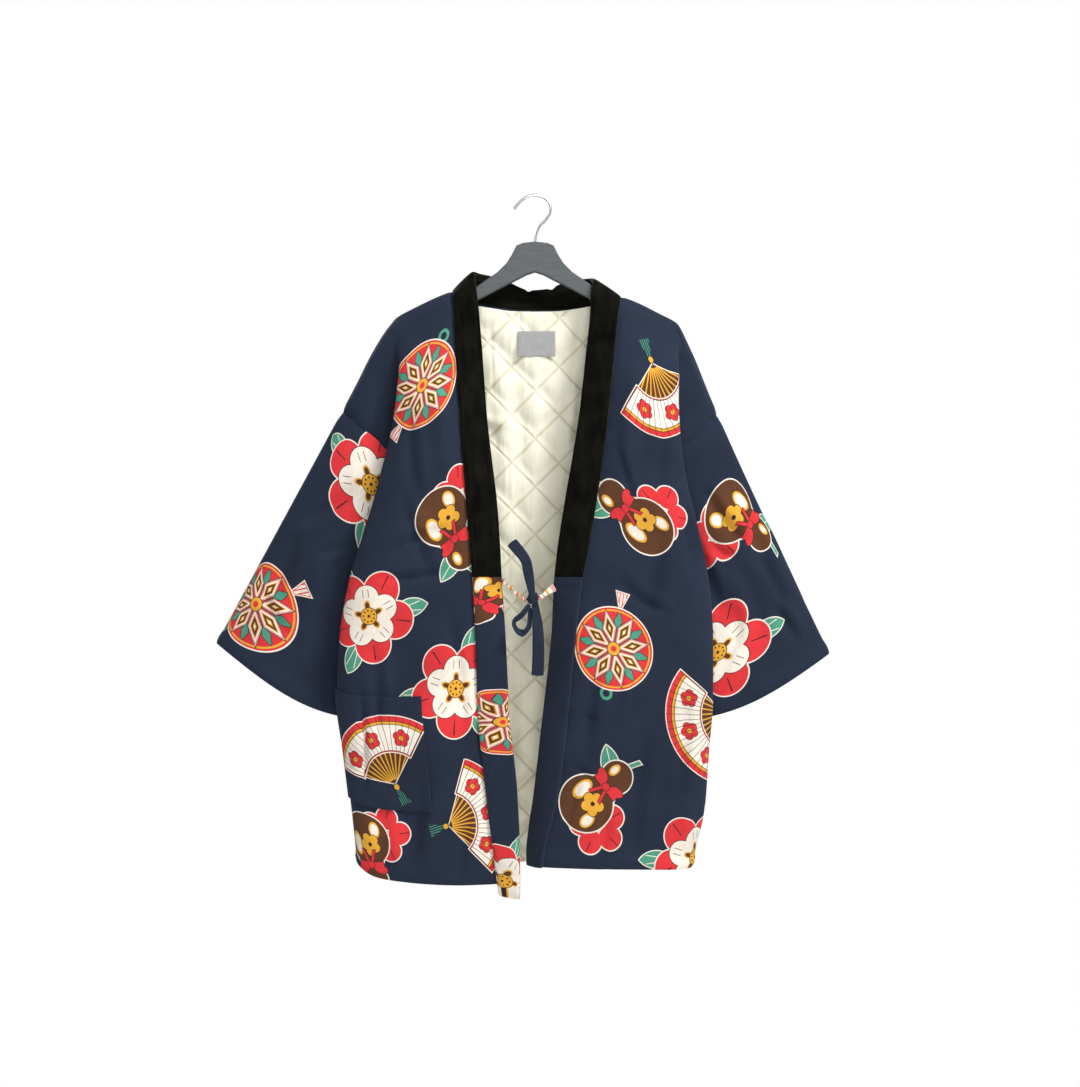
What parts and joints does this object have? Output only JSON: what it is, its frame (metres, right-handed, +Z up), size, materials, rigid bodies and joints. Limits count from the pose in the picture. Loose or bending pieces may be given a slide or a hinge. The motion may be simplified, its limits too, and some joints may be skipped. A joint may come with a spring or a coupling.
{
  "type": "quilted kimono-style jacket on a coat hanger",
  "caption": "Padded open-front coat with wide sleeves, velvet collar, patch pocket, quilted lining and half-bow ties, hung on a flat hanger with a wire hook.",
  "frame": {"origin": "inside top of the hanger's hook, where the hook bears on a rail or nail", "axes": "+Z up, -Y out of the coat's front, +X towards the wearer's left"},
  "size_m": [0.887, 0.1551, 1.0078],
  "materials": {
    "printed_cotton": "printed navy cotton, plain weave",
    "black_velvet": "black cotton velvet",
    "quilted_lining": "cream cotton, machine quilted in diamonds",
    "woven_label": "plain grey woven label",
    "tie_cotton": "printed navy cotton, sewn flat",
    "hanger_wood": "matt dark grey lacquer",
    "hook_steel": "bright plated wire"
  },
  "bodies": {
    "root": {"body_right": "printed_cotton", "body_left": "printed_cotton", "sleeve_right": "printed_cotton", "sleeve_left": "printed_cotton", "band_right": "printed_cotton", "band_left": "printed_cotton", "pocket": "printed_cotton", "collar_velvet": "black_velvet", "lining_back": "quilted_lining", "label": "woven_label", "tie_right": "tie_cotton", "tie_left": "tie_cotton", "tie_tail_up": "tie_cotton", "tie_tail_down": "tie_cotton", "tie_loop": "tie_cotton", "tie_knot": "tie_cotton", "hanger_body": "hanger_wood", "hanger_hook": "hook_steel"}
  },
  "joints": []
}
